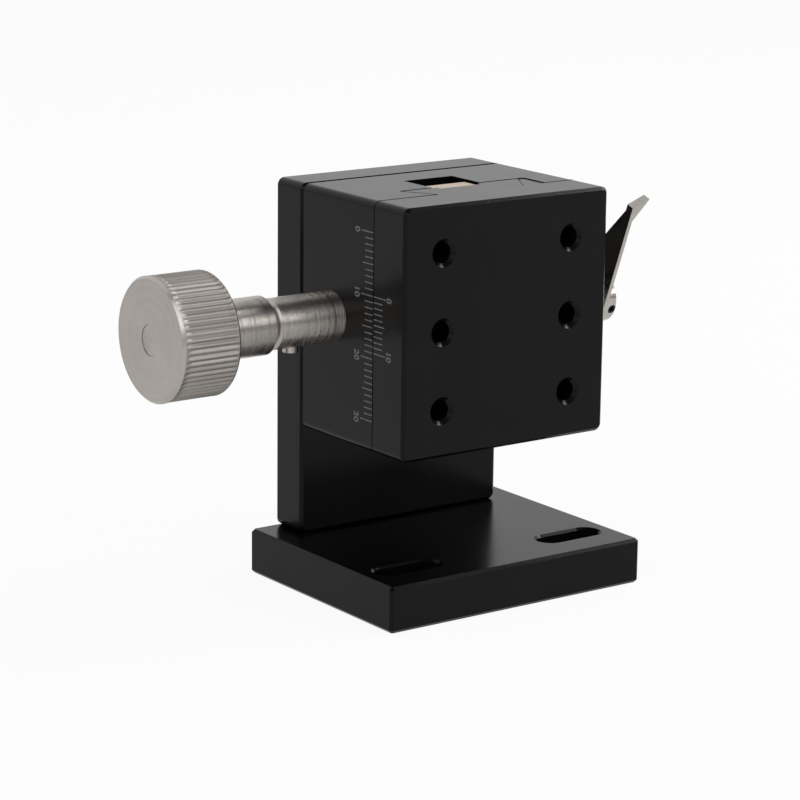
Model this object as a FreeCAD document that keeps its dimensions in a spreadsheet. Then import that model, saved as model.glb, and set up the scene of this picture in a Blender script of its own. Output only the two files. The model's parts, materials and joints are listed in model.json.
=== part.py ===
import FreeCAD, Part
import Sketcher
import math
import os

from FreeCAD import Placement, Rotation, Vector

# Vertical dovetail stage on an L bracket, driven by a rack and pinion. Millimetres.
# World frame: origin at the centre of the base's underside, +X to the clamp side, -Y to the front, +Z up.
# Stage frame: X as the world's, Y from the table's front face, Z from the middle of the table's height.

doc = FreeCAD.newDocument("dovetail_stage")
sizes = doc.addObject("Spreadsheet::Sheet", "sizes")

drivingSizes = dict(
    # Bracket
    base_width=50.0, base_depth=40.0, base_thick=7.5, plate_thick=7.5,
    slot_width=4.5, slot_length=12.0, slot_spread=32.5, slot_inset=8.0,
    base_screw_spread=25.0,
    # Stage block
    stage_width=40.0, stage_height=40.0, centre_height=45.5,
    table_thick=8.0, face_gap=0.2, body_depth=19.8,
    corner_round=1.2, edge_break=0.5, slot_break=0.4,
    hole_pitch_x=25.0, hole_pitch_z=12.5, tap_radius=1.65, tap_depth=6.5, tap_sink=0.6,
    # Dovetail and gib
    dovetail_depth=5.5, dovetail_neck=16.6, dovetail_angle=60.0, dovetail_shift=0.6,
    slide_gap=0.04, floor_gap=0.3, gib_back=1.4, gib_end_gap=0.1, gib_face_gap=0.1,
    # Rack and pinion
    gear_module=0.5, pinion_teeth=12.0, tooth_shift=0.3, pressure_angle=20.0, backlash=0.08,
    pinion_addendum=0.55, pinion_dedendum=0.475, rack_addendum=0.5, rack_dedendum=0.625,
    rack_spaces=23.0, rack_width=8.0, rack_height=4.5, rack_seat=1.0, rack_end_gap=0.3,
    channel_width=9.6, channel_depth=7.7, fit_gap=0.02, run_gap=0.03,
    shaft_radius=2.5, journal_radius=2.0, pinion_width=8.4,
    sleeve_radius=4.1, sleeve_reach=12.35, sleeve_break=0.6,
    end_play=0.05, bush_radius=3.5, bush_length=7.5, bush_end_space=0.8,
    # Knob
    knob_radius=9.85, knob_length=10.55, knob_front_break=0.45, knob_back_break=1.0,
    knurl_count=64.0, knurl_depth=0.32,
    hub_radius=4.6, hub_length=10.0, hub_break=0.5, hub_gap=0.4, shaft_end_inset=0.1,
    # Clamp
    clamp_drop=0.7, lever_lean=20.7, lever_radius=4.0, lever_start=0.6, lever_face=28.3,
    lever_plate_start=25.5, lever_plate=0.7, arm_height=20.9, arm_shoulder=4.75,
    tab_start=15.6, tab_reach=3.1, tab_rise=5.0, tab_depth=1.4,
    clamp_head_radius=2.6, clamp_head=2.6, lever_break=0.2, plug_length=2.0, plug_gap=0.05,
    # Fasteners
    m4_radius=2.0, m4_head_radius=3.5, m4_head=4.0, m4_key=3.0, m4_key_depth=2.0,
    m4_clear=0.2, head_clear=0.25, thread_gap=0.04,
    base_screw_length=12.0, base_sink=4.3, body_screw_length=10.0, body_sink=4.2,
    body_screw_spread=30.0, body_tap_depth=8.0, plate_tap_depth=10.5,
    m3_radius=1.5, m3_key=1.5, m3_key_depth=1.2, gib_screw_place=12.0, gib_screw_inset=0.5,
    knob_screw_place=6.1, knob_screw_inset=0.7, knob_key_depth=0.6,
    sleeve_screw_place=4.65, sleeve_screw_proud=0.75, sleeve_screw_radius=1.25,
    friction_plug_length=0.4, lever_screw_radius=0.75, lever_screw_place=0.9,
    lever_screw_inset=0.15, small_key=0.9, small_key_depth=0.5,
    # How far a cutting tool runs past a face
    tool_margin=1.0,
    # Travel stop
    travel=10.0, stop_radius=1.25, stop_place=16.5, stop_depth=4.0, stop_proud=3.0, stop_slot_gap=0.15,
)

derivedSizes = dict(
    face_y="base_depth / 2 - plate_thick - body_depth - face_gap - table_thick",
    plate_height="centre_height + stage_height / 2 - base_thick",
    body_front="table_thick + face_gap",
    body_back="body_front + body_depth",
    plate_middle="base_depth / 2 - plate_thick / 2",
    half_width="stage_width / 2",
    half_height="stage_height / 2",
    dovetail_back="table_thick + dovetail_depth",
    groove_floor="dovetail_back + floor_gap",
    neck_left="dovetail_shift - dovetail_neck / 2",
    neck_right="dovetail_shift + dovetail_neck / 2",
    flank_run="dovetail_depth / tan(dovetail_angle * 1 deg)",
    flank_gap="slide_gap / sin(dovetail_angle * 1 deg)",
    groove_left_front="neck_left - face_gap / tan(dovetail_angle * 1 deg) - flank_gap",
    groove_left_back="neck_left - (groove_floor - table_thick) / tan(dovetail_angle * 1 deg) - flank_gap",
    gib_wall="neck_right + flank_run + gib_back",
    gib_front_y="body_front + gib_face_gap",
    gib_back_y="groove_floor - gib_face_gap",
    gib_front_x="neck_right + (gib_front_y - table_thick) / tan(dovetail_angle * 1 deg) + flank_gap",
    gib_back_x="neck_right + (gib_back_y - table_thick) / tan(dovetail_angle * 1 deg) + flank_gap",
    gib_outer_x="gib_wall - slide_gap",
    gib_middle="(body_front + groove_floor) / 2",
    rack_front="dovetail_back - rack_seat",
    rack_tip="rack_front + rack_height",
    rack_pitch_line="rack_tip - rack_addendum",
    rack_root="rack_pitch_line - rack_dedendum",
    tooth_pitch="pi * gear_module",
    pitch_radius="gear_module * pinion_teeth / 2",
    pinion_y="rack_pitch_line + pitch_radius + gear_module * tooth_shift",
    rack_length="stage_height - 2 * rack_end_gap",
    channel_half="channel_width / 2",
    channel_back="groove_floor + channel_depth",
    shoulder="pinion_width / 2 + end_play",
    sleeve_start="-half_width - sleeve_reach",
    hub_end="sleeve_start - hub_gap",
    knob_back="hub_end - hub_length",
    knob_front="knob_back - knob_length",
    shaft_start="knob_front + shaft_end_inset",
    clamp_y="gib_middle",
    clamp_z="-clamp_drop",
    lever_hub_start="half_width + lever_start",
)


def fillSheet():
    # One row per size: its name, its value or formula, and the name again as the cell's alias.
    row = 1
    for name, value in list(drivingSizes.items()) + list(derivedSizes.items()):
        sizes.set(f"A{row}", name)
        sizes.set(f"B{row}", str(value) if isinstance(value, float) else "=" + value)
        sizes.setAlias(f"B{row}", name)
        row += 1
    doc.recompute()


fillSheet()
sizeNames = sorted(list(drivingSizes) + list(derivedSizes), key=len, reverse=True)


def bound(formula):
    # The same formula with each size's name led by the sheet's.
    words = ""
    token = ""
    for letter in str(formula) + " ":
        if letter.isalnum() or letter in "_.":
            token += letter
            continue
        words += ("sizes." + token if token in sizeNames else token) + letter
        token = ""
    return words.strip()


def number(formula):
    value = sizes.evalExpression(bound(formula))
    return float(getattr(value, "Value", value))


def bind(thing, name, formula):
    thing.setExpression(name, bound(formula))


def place(thing, x="0", y="0", z="0", turn=None):
    # A fixed turn, and a place that follows the sheet.
    thing.Placement = Placement(Vector(number(x), number(y), number(z)), turn or Rotation())
    for axis, formula in zip("xyz", (x, y, z)):
        bind(thing, "Placement.Base." + axis, formula)
    return thing


def placeInStage(thing, x="0", y="0", z="0", turn=None):
    return place(thing, x, f"face_y + {y}", f"centre_height + {z}", turn)


# Sketched bodies


def newBody(label):
    body = doc.addObject("PartDesign::Body", label)
    body.Label = label
    return body


def newSketch(body, plane, offset="0"):
    # On one of the body's own planes, moved along the plane's normal.
    sketch = body.newObject("Sketcher::SketchObject", body.Name + "_sketch")
    support = [f for f in body.Origin.OriginFeatures if f.Role == plane + "_Plane"][0]
    sketch.AttachmentSupport = [(support, "")]
    sketch.MapMode = "FlatFace"
    bind(sketch, "AttachmentOffset.Base.z", offset)
    return sketch


def pin(sketch, edge, end, x, y):
    # Fix one point of an edge at two formulas.
    for kind, formula in (("DistanceX", x), ("DistanceY", y)):
        index = sketch.addConstraint(Sketcher.Constraint(kind, edge, end, number(formula)))
        bind(sketch, f"Constraints[{index}]", formula)


def outline(sketch, corners):
    # A closed outline of straight lines through corners given as pairs of formulas.
    points = [Vector(number(x), number(y), 0) for x, y in corners]
    first = sketch.GeometryCount
    for start, end in zip(points, points[1:] + points[:1]):
        sketch.addGeometry(Part.LineSegment(start, end))
    for i, (x, y) in enumerate(corners):
        before = first + (i - 1) % len(corners)
        sketch.addConstraint(Sketcher.Constraint("Coincident", before, 2, first + i, 1))
        pin(sketch, first + i, 1, x, y)


def rectangle(sketch, x0, x1, y0, y1):
    outline(sketch, [(x0, y0), (x1, y0), (x1, y1), (x0, y1)])


def ring(sketch, x, y, radius):
    circle = Part.Circle(Vector(number(x), number(y), 0), Vector(0, 0, 1), number(radius))
    edge = sketch.addGeometry(circle)
    pin(sketch, edge, 3, x, y)
    index = sketch.addConstraint(Sketcher.Constraint("Radius", edge, number(radius)))
    bind(sketch, f"Constraints[{index}]", radius)


def slot(sketch, x, y, length, width):
    # A slot along X: two lines joined by two half circles.
    reach, radius = f"({length} - {width}) / 2", f"({width}) / 2"
    left, right = f"{x} - {reach}", f"{x} + {reach}"
    low, high = f"{y} - {radius}", f"{y} + {radius}"
    ends = ((left, low), (right, low), (right, high), (left, high))
    corner = [Vector(number(a), number(b), 0) for a, b in ends]
    middle = [Vector(number(a), number(y), 0) for a in (left, right)]
    up = Vector(0, 0, 1)
    quarter = math.pi / 2
    first = sketch.GeometryCount
    sketch.addGeometry(Part.LineSegment(corner[0], corner[1]))
    sketch.addGeometry(Part.ArcOfCircle(Part.Circle(middle[1], up, number(radius)), -quarter, quarter))
    sketch.addGeometry(Part.LineSegment(corner[2], corner[3]))
    sketch.addGeometry(Part.ArcOfCircle(Part.Circle(middle[0], up, number(radius)), quarter, 3 * quarter))
    for a, enda, b, endb in ((0, 2, 1, 1), (1, 2, 2, 1), (2, 2, 3, 1), (3, 2, 0, 1)):
        sketch.addConstraint(Sketcher.Constraint("Tangent", first + a, enda, first + b, endb))
    pin(sketch, first + 1, 3, right, y)
    index = sketch.addConstraint(Sketcher.Constraint("Radius", first + 1, number(radius)))
    bind(sketch, f"Constraints[{index}]", radius)
    pin(sketch, first + 3, 3, left, y)


def grow(body, kind, sketch, length, middle=False, back=False):
    # Pad or pocket a sketch by a formula's length.
    before = body.Shape.Volume if not body.Shape.isNull() else 0
    feature = body.newObject("PartDesign::" + kind, body.Name + "_" + kind.lower())
    feature.Profile = sketch
    bind(feature, "Length", length)
    feature.Midplane = middle
    feature.Reversed = back
    sketch.Visibility = False
    doc.recompute()
    change = body.Shape.Volume - before
    if change <= 0 if kind == "Pad" else change >= 0:
        raise ValueError(f"{body.Label}: {kind} changed the volume by {change}")
    return feature


def pad(body, sketch, length, **how):
    return grow(body, "Pad", sketch, length, **how)


def pocket(body, sketch, length, **how):
    return grow(body, "Pocket", sketch, length, **how)


def dress(body, kind, size, wanted):
    # Chamfer or fillet the edges of the body for which wanted(edge) is true.
    doc.recompute()
    base = body.Tip
    names = [f"Edge{i + 1}" for i, edge in enumerate(base.Shape.Edges) if wanted(edge)]
    if not names:
        raise ValueError(f"{body.Label}: no edge to {kind}")
    feature = body.newObject("PartDesign::" + kind, body.Name + "_" + kind.lower())
    feature.Base = (base, names)
    bind(feature, "Radius" if kind == "Fillet" else "Size", size)
    doc.recompute()
    if "Invalid" in feature.State or body.Shape.isNull():
        raise ValueError(f"{body.Label}: {kind} failed")
    return feature


def near(a, b):
    tolerance = 1e-3
    return abs(a - b) < tolerance


def onPlane(edge, axis, value):
    box = edge.BoundBox
    return near(getattr(box, axis + "Min"), value) and near(getattr(box, axis + "Max"), value)


def cornerAlong(axis, halfX, halfZ):
    # Edges that run along Y at the four corners of the X and Z outline.
    def wanted(edge):
        box = edge.BoundBox
        straight = near(box.XLength, 0) and near(box.ZLength, 0)
        return straight and near(abs(box.Center.x), halfX) and near(abs(box.Center.z - axis), halfZ)
    return wanted


def rimAt(y, halfX, lowZ, highZ):
    # The outer rim of a flat face that stands at one y: edges that touch the outline's sides.
    def wanted(edge):
        if not onPlane(edge, "Y", y):
            return False
        box = edge.BoundBox
        upright = near(abs(box.XMin), halfX) and near(box.XMin, box.XMax)
        level = near(box.ZMin, box.ZMax) and (near(box.ZMin, lowZ) or near(box.ZMin, highZ))
        return upright or level or isinstance(edge.Curve, Part.Circle)
    return wanted


def circlesAt(axis, value, radius):
    def wanted(edge):
        circular = isinstance(edge.Curve, Part.Circle)
        return circular and onPlane(edge, axis, value) and near(edge.Curve.Radius, radius)
    return wanted


# Turned pieces and fasteners made from primitives

alongX = Rotation(Vector(0, 1, 0), 90)
alongY = Rotation(Vector(1, 0, 0), -90)
againstZ = Rotation(Vector(1, 0, 0), 180)


def cylinder(radius, length, x="0", y="0", z="0", turn=alongX, stage=True):
    solid = doc.addObject("Part::Cylinder", "cylinder")
    bind(solid, "Radius", radius)
    bind(solid, "Height", length)
    return (placeInStage if stage else place)(solid, x, y, z, turn)


def cone(low, high, length, x="0", y="0", z="0", turn=alongX):
    solid = doc.addObject("Part::Cone", "cone")
    bind(solid, "Radius1", low)
    bind(solid, "Radius2", high)
    bind(solid, "Height", length)
    return placeInStage(solid, x, y, z, turn)


def hexagon(flats, length, x="0", y="0", z="0", turn=alongX, stage=True):
    solid = doc.addObject("Part::Prism", "hexagon")
    solid.Polygon = 6
    bind(solid, "Circumradius", f"({flats}) / sqrt(3)")
    bind(solid, "Height", length)
    return (placeInStage if stage else place)(solid, x, y, z, turn)


def fuse(*solids):
    joined = doc.addObject("Part::MultiFuse", "joined")
    joined.Shapes = list(solids)
    joined.Refine = True
    return joined


def cut(solid, *tools):
    for tool in tools:
        left = doc.addObject("Part::Cut", "cut")
        left.Base = solid
        left.Tool = tool
        solid = left
    return solid


def finished(solid, label):
    solid.Label = label
    return solid


def together(label, solids):
    group = doc.addObject("Part::Compound", label)
    group.Links = solids
    group.Label = label
    return group


def moved(spot, turn, length):
    # A spot's three formulas, moved by a length along the direction that a turn gives to Z.
    way = turn.multVec(Vector(0, 0, 1))
    shifts = [round(c) for c in (way.x, way.y, way.z)]
    return [f"{start} {'+' if shift > 0 else '-'} ({length})" if shift else start
            for start, shift in zip(spot, shifts)]


def capScrew(spot, turn, length, stage=True):
    # A socket head cap screw: spot is the underside of its head and turn points from tip to head.
    shank = cylinder("m4_radius", length, *moved(spot, turn, f"-({length})"), turn, stage)
    top = cylinder("m4_head_radius", "m4_head", *spot, turn, stage)
    recess = hexagon("m4_key", "m4_key_depth", *moved(spot, turn, "m4_head - m4_key_depth"), turn, stage)
    return cut(fuse(shank, top), recess)


def setScrew(spot, turn, radius, length, key, keyDepth):
    # A headless screw: spot is its tip and turn points from the tip to the socket.
    shank = cylinder(radius, length, *spot, turn)
    return cut(shank, hexagon(key, keyDepth, *moved(spot, turn, f"{length} - {keyDepth}"), turn))


# The bracket

# The signs of X and Z where the two screws hold the stage's body on the plate.
diagonal = (("-", "+"), ("+", "-"))


def makeBasePlate():
    body = newBody("base_plate")
    sketch = newSketch(body, "XY")
    rectangle(sketch, "-base_width / 2", "base_width / 2", "-base_depth / 2", "base_depth / 2")
    pad(body, sketch, "base_thick")

    def upright(edge):
        box = edge.BoundBox
        return near(box.XLength, 0) and near(box.YLength, 0)

    dress(body, "Chamfer", "edge_break", upright)

    def rim(edge):
        box = edge.BoundBox
        return near(box.ZLength, 0) and (near(box.ZMin, 0) or near(box.ZMin, number("base_thick")))

    dress(body, "Chamfer", "edge_break", rim)
    sketch = newSketch(body, "XY")
    for side in ("-", ""):
        slot(sketch, f"{side}slot_spread / 2", "-base_depth / 2 + slot_inset", "slot_length", "slot_width")
    pocket(body, sketch, "base_thick", back=True)
    halfX, halfY, top = number("base_width / 2"), number("base_depth / 2"), number("base_thick")

    def slotRim(edge):
        box = edge.BoundBox
        inside = max(-box.XMin, box.XMax) < halfX - 1 and max(-box.YMin, box.YMax) < halfY - 1
        return inside and onPlane(edge, "Z", top)

    dress(body, "Chamfer", "slot_break", slotRim)
    sketch = newSketch(body, "XY")
    for side in ("-", ""):
        ring(sketch, f"{side}base_screw_spread / 2", "plate_middle", "m4_radius + m4_clear")
    pocket(body, sketch, "base_thick", back=True)
    sketch = newSketch(body, "XY")
    for side in ("-", ""):
        ring(sketch, f"{side}base_screw_spread / 2", "plate_middle", "m4_head_radius + head_clear")
    pocket(body, sketch, "base_sink", back=True)
    return body


def makeVerticalPlate():
    body = newBody("vertical_plate")
    place(body, "0", "base_depth / 2 - plate_thick", "base_thick")
    sketch = newSketch(body, "XZ")
    rectangle(sketch, "-half_width", "half_width", "0", "plate_height")
    pad(body, sketch, "plate_thick", back=True)
    halfX, height, thick = number("half_width"), number("plate_height"), number("plate_thick")
    dress(body, "Fillet", "corner_round", cornerAlong(height / 2, halfX, height / 2))
    for y in (0, thick):
        dress(body, "Chamfer", "edge_break", rimAt(y, halfX, 0, height))
    sketch = newSketch(body, "XY")
    for side in ("-", ""):
        ring(sketch, f"{side}base_screw_spread / 2", "plate_thick / 2", "m4_radius + thread_gap")
    pocket(body, sketch, "plate_tap_depth", back=True)
    for radius, depth, start in (
        ("m4_radius + m4_clear", "plate_thick", "-plate_thick"),
        ("m4_head_radius + head_clear", "body_sink", "-plate_thick"),
    ):
        sketch = newSketch(body, "XZ", start)
        for side, level in diagonal:
            ring(sketch, f"0 {side} body_screw_spread / 2",
                 f"plate_height - half_height {level} body_screw_spread / 2", radius)
        pocket(body, sketch, depth, back=True)
    return body


def makeBaseScrews():
    screws = [
        capScrew((f"{side}base_screw_spread / 2", "plate_middle", "base_sink"), againstZ,
                 "base_screw_length", False)
        for side in ("-", "")
    ]
    return together("base_screws", screws)


def makeBodyScrews():
    screws = [
        capScrew((f"0 {side} body_screw_spread / 2", "body_back + plate_thick - body_sink",
                  f"0 {level} body_screw_spread / 2"), alongY, "body_screw_length")
        for side, level in diagonal
    ]
    return together("body_screws", screws)


# The slide


def makeSlideBody():
    body = newBody("slide_body")
    placeInStage(body)
    sketch = newSketch(body, "XY")
    outline(sketch, [
        ("-half_width", "body_front"), ("groove_left_front", "body_front"),
        ("groove_left_back", "groove_floor"), ("-channel_half", "groove_floor"),
        ("-channel_half", "channel_back"), ("channel_half", "channel_back"),
        ("channel_half", "groove_floor"), ("gib_wall", "groove_floor"),
        ("gib_wall", "body_front"), ("half_width", "body_front"),
        ("half_width", "body_back"), ("-half_width", "body_back"),
    ])
    pad(body, sketch, "stage_height", middle=True)
    halfX, halfZ = number("half_width"), number("half_height")
    dress(body, "Fillet", "corner_round", cornerAlong(0, halfX, halfZ))
    dress(body, "Chamfer", "edge_break", rimAt(number("body_back"), halfX, -halfZ, halfZ))
    # The pinion's cross bore from the left side, and the bush's seat beyond the channel.
    sketch = newSketch(body, "YZ", "-half_width")
    ring(sketch, "pinion_y", "0", "sleeve_radius + fit_gap")
    pocket(body, sketch, "half_width + channel_half", back=True)
    sketch = newSketch(body, "YZ", "channel_half")
    ring(sketch, "pinion_y", "0", "bush_radius + fit_gap")
    pocket(body, sketch, "bush_length + shoulder - channel_half + bush_end_space", back=True)
    # The clamp's tapped hole and the gib's adjusting screws from the right side.
    sketch = newSketch(body, "YZ", "half_width")
    ring(sketch, "clamp_y", "clamp_z", "m4_radius + thread_gap")
    for side in ("-", ""):
        ring(sketch, "gib_middle", side + "gib_screw_place", "m3_radius + thread_gap")
    pocket(body, sketch, "half_width - gib_wall + slide_gap")
    # The stop pin's slot in the front face.
    sketch = newSketch(body, "XZ", "-body_front")
    side = "stop_radius + stop_slot_gap"
    reach = f"(travel + {side})"
    rectangle(sketch, f"-stop_place - ({side})", f"-stop_place + {side}", "-" + reach, reach)
    pocket(body, sketch, "stop_proud + stop_slot_gap")
    # The bracket screws' tapped holes in the back.
    sketch = newSketch(body, "XZ", "-body_back")
    for side, level in diagonal:
        ring(sketch, f"0 {side} body_screw_spread / 2", f"0 {level} body_screw_spread / 2",
             "m4_radius + thread_gap")
    pocket(body, sketch, "body_tap_depth", back=True)
    return body


def makeStageTable():
    body = newBody("stage_table")
    placeInStage(body)
    seat = "rack_width / 2 + fit_gap"
    sketch = newSketch(body, "XY")
    outline(sketch, [
        ("-half_width", "0"), ("half_width", "0"), ("half_width", "table_thick"),
        ("neck_right", "table_thick"), ("neck_right + flank_run", "dovetail_back"),
        (seat, "dovetail_back"), (seat, "rack_front"), (f"-({seat})", "rack_front"),
        (f"-({seat})", "dovetail_back"), ("neck_left - flank_run", "dovetail_back"),
        ("neck_left", "table_thick"), ("-half_width", "table_thick"),
    ])
    pad(body, sketch, "stage_height", middle=True)
    halfX, halfZ = number("half_width"), number("half_height")
    dress(body, "Fillet", "corner_round", cornerAlong(0, halfX, halfZ))
    dress(body, "Chamfer", "edge_break", rimAt(0, halfX, -halfZ, halfZ))
    # Six tapped holes with countersunk mouths.
    sketch = newSketch(body, "XZ")
    for side in ("-", ""):
        for level in ("-hole_pitch_z", "0", "hole_pitch_z"):
            ring(sketch, f"{side}hole_pitch_x / 2", level, "tap_radius")
    pocket(body, sketch, "tap_depth")
    dress(body, "Chamfer", "tap_sink", circlesAt("Y", 0, number("tap_radius")))
    # The stop pin's hole in the back of the plate.
    sketch = newSketch(body, "XZ", "-table_thick")
    ring(sketch, "-stop_place", "0", "stop_radius + fit_gap")
    pocket(body, sketch, "stop_depth", back=True)
    return body


def makeGib():
    body = newBody("gib")
    placeInStage(body)
    sketch = newSketch(body, "XY")
    outline(sketch, [
        ("gib_front_x", "gib_front_y"), ("gib_outer_x", "gib_front_y"),
        ("gib_outer_x", "gib_back_y"), ("gib_back_x", "gib_back_y"),
    ])
    pad(body, sketch, "stage_height - 2 * gib_end_gap", middle=True)
    return body


def makeGibScrews():
    screws = [
        setScrew(("gib_wall", "gib_middle", side + "gib_screw_place"), alongX, "m3_radius",
                 "half_width - gib_wall - gib_screw_inset", "m3_key", "m3_key_depth")
        for side in ("-", "")
    ]
    return together("gib_screws", screws)


def makeStopPin():
    stop = cylinder("stop_radius", "stop_depth + face_gap + stop_proud - fit_gap", "-stop_place",
                    "table_thick - stop_depth + fit_gap", "0", alongY)
    return finished(stop, "stop_pin")


# The rack and the pinion


def makeRack():
    # A brass bar whose tooth spaces are one straight-sided space carried along Z.
    body = newBody("rack")
    placeInStage(body)
    sketch = newSketch(body, "YZ")
    rectangle(sketch, "rack_front", "rack_tip", "-rack_length / 2", "rack_length / 2")
    pad(body, sketch, "rack_width", middle=True)
    lowest = "-tooth_pitch * (rack_spaces - 1) / 2"
    halfSpace = "(tooth_pitch / 4 + backlash / 4)"
    tip = f"({halfSpace} + rack_addendum * tan(pressure_angle * 1 deg))"
    root = f"({halfSpace} - rack_dedendum * tan(pressure_angle * 1 deg))"
    sketch = newSketch(body, "YZ", "-rack_width / 2")
    outline(sketch, [
        ("rack_tip", f"{lowest} - {tip}"), ("rack_tip", f"{lowest} + {tip}"),
        ("rack_root", f"{lowest} + {root}"), ("rack_root", f"{lowest} - {root}"),
    ])
    space = pocket(body, sketch, "rack_width", back=True)
    spaces = body.newObject("PartDesign::LinearPattern", "rack_teeth")
    spaces.Originals = [space]
    spaces.Direction = ([f for f in body.Origin.OriginFeatures if f.Role == "Z_Axis"][0], [""])
    bind(spaces, "Length", "tooth_pitch * (rack_spaces - 1)")
    bind(spaces, "Occurrences", "rack_spaces")
    body.Tip = spaces
    doc.recompute()
    return body


def toothProfile():
    # The pinion's section in its own plane: for each tooth a radial root line, an involute flank as
    # one arc through three of its points, a tip arc, and the same mirrored. One tooth points to -X.
    teeth = int(round(number("pinion_teeth")))
    pitch = number("pitch_radius")
    angle = math.radians(number("pressure_angle"))
    base = pitch * math.cos(angle)
    tip = pitch + number("pinion_addendum")
    root = pitch - number("pinion_dedendum")
    widened = "2 * gear_module * tooth_shift * tan(pressure_angle * 1 deg)"
    thick = number("gear_module * pi / 2 - backlash / 2 + " + widened)

    def involute(a):
        return math.tan(a) - a

    def half(radius):
        # Half of the tooth's angle at a radius on or outside the base circle.
        return thick / (2 * pitch) + involute(angle) - involute(math.acos(min(1, base / radius)))

    def spot(radius, turn):
        return Vector(radius * math.cos(turn), radius * math.sin(turn), 0)

    def arc(*spots):
        return Part.Arc(*spots).toShape()

    middle = (base + tip) / 2
    edges = []
    for i in range(teeth):
        centre = math.pi + 2 * math.pi * i / teeth
        start, end = centre - half(base), centre + half(base)
        nextStart = start + 2 * math.pi / teeth
        tipStart, tipEnd = spot(tip, centre - half(tip)), spot(tip, centre + half(tip))
        edges.append(Part.makeLine(spot(root, start), spot(base, start)))
        edges.append(arc(spot(base, start), spot(middle, centre - half(middle)), tipStart))
        edges.append(arc(tipStart, spot(tip, centre), tipEnd))
        edges.append(arc(tipEnd, spot(middle, centre + half(middle)), spot(base, end)))
        edges.append(Part.makeLine(spot(base, end), spot(root, end)))
        edges.append(arc(spot(root, end), spot(root, (end + nextStart) / 2), spot(root, nextStart)))
    return Part.Face(Part.Wire(edges))


def knurlProfile():
    # The knob's section: a ring of equal ridges with straight sides.
    count = int(round(number("knurl_count")))
    outer, inner = number("knob_radius"), number("knob_radius - knurl_depth")
    points = []
    for i in range(2 * count):
        radius = outer if i % 2 == 0 else inner
        turn = math.pi * i / count
        points.append(Vector(radius * math.cos(turn), radius * math.sin(turn), 0))
    return Part.Face(Part.makePolygon(points + points[:1]))


def extrusion(face, name, length, x, y, z):
    profile = doc.addObject("Part::Feature", name)
    profile.Shape = face
    solid = doc.addObject("Part::Extrusion", name + "_length")
    solid.Base = profile
    solid.DirMode = "Custom"
    solid.Dir = Vector(0, 0, 1)
    solid.Solid = True
    bind(solid, "LengthFwd", length)
    # The profile's X lies along the stage's Y, and its length along X.
    turn = Rotation(Vector(0, 1, 0), Vector(0, 0, 1), Vector(1, 0, 0), "ZXY")
    return placeInStage(solid, x, y, z, turn)


def makePinionShaft():
    teeth = extrusion(toothProfile(), "pinion_section", "pinion_width", "-pinion_width / 2", "pinion_y", "0")
    shaft = cylinder("shaft_radius", "-pinion_width / 2 - shaft_start", "shaft_start", "pinion_y", "0")
    journal = cylinder("journal_radius", "end_play + bush_length", "pinion_width / 2", "pinion_y", "0")
    return finished(fuse(shaft, teeth, journal), "pinion_shaft")


def makePinionSleeve():
    straight = "sleeve_reach + half_width - shoulder - sleeve_break"
    tube = fuse(
        cylinder("sleeve_radius", straight, "sleeve_start + sleeve_break", "pinion_y", "0"),
        cone("sleeve_radius - sleeve_break", "sleeve_radius", "sleeve_break", "sleeve_start",
             "pinion_y", "0"),
    )
    bore = cylinder("shaft_radius + run_gap", "sleeve_reach + half_width",
                    "sleeve_start - tool_margin", "pinion_y", "0")
    hole = cylinder("sleeve_screw_radius + fit_gap", "sleeve_radius + tool_margin",
                    "sleeve_start + sleeve_screw_place", "pinion_y", "0", againstZ)
    return finished(cut(tube, bore, hole), "pinion_sleeve")


def makeEndBush():
    solid = cylinder("bush_radius", "bush_length", "shoulder", "pinion_y", "0")
    bore = cylinder("journal_radius + run_gap", "bush_length + 2 * tool_margin",
                    "shoulder - tool_margin", "pinion_y", "0")
    return finished(cut(solid, bore), "end_bush")


def makeSleeveScrew():
    plugEnd = "(shaft_radius + run_gap + friction_plug_length + fit_gap)"
    length = f"(sleeve_radius + sleeve_screw_proud - {plugEnd})"
    tip = ("sleeve_start + sleeve_screw_place", "pinion_y", f"0 - {plugEnd}")
    screw = setScrew(tip, againstZ, "sleeve_screw_radius", length, "small_key", "small_key_depth")
    return finished(screw, "sleeve_set_screw")


def makeFrictionPlug():
    plug = cylinder("sleeve_screw_radius - run_gap", "friction_plug_length",
                    "sleeve_start + sleeve_screw_place", "pinion_y", "0 - shaft_radius - run_gap", againstZ)
    return finished(plug, "friction_plug")


# The knob


def makeKnob():
    # The ridges stand between a front edge of their full height and a back edge that starts at their root.
    grip = extrusion(knurlProfile(), "knurl_section", "knob_length - knob_front_break - knob_back_break",
                     "knob_front + knob_front_break", "pinion_y", "0")
    rim = fuse(
        cone("knob_radius - knob_front_break", "knob_radius", "knob_front_break", "knob_front",
             "pinion_y", "0"),
        cone("knob_radius - knurl_depth", "knob_radius - knob_back_break", "knob_back_break",
             "knob_back - knob_back_break", "pinion_y", "0"),
    )
    hub = fuse(
        cylinder("hub_radius", "hub_length - hub_break", "knob_back", "pinion_y", "0"),
        cone("hub_radius", "hub_radius - hub_break", "hub_break", "hub_end - hub_break", "pinion_y", "0"),
    )
    bore = cylinder("shaft_radius + fit_gap", "knob_length + hub_length + 2 * tool_margin",
                    "knob_front - tool_margin", "pinion_y", "0")
    hole = cylinder("m3_radius + thread_gap", "hub_radius + tool_margin", "hub_end - knob_screw_place",
                    "pinion_y", "0", againstZ)
    return finished(cut(fuse(rim, grip, hub), bore, hole), "knob")


def makeKnobScrew():
    length = "(hub_radius - knob_screw_inset - shaft_radius - fit_gap)"
    screw = setScrew(("hub_end - knob_screw_place", "pinion_y", "0 - shaft_radius - fit_gap"), againstZ,
                     "m3_radius", length, "m3_key", "knob_key_depth")
    return finished(screw, "knob_set_screw")


# The clamp


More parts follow.
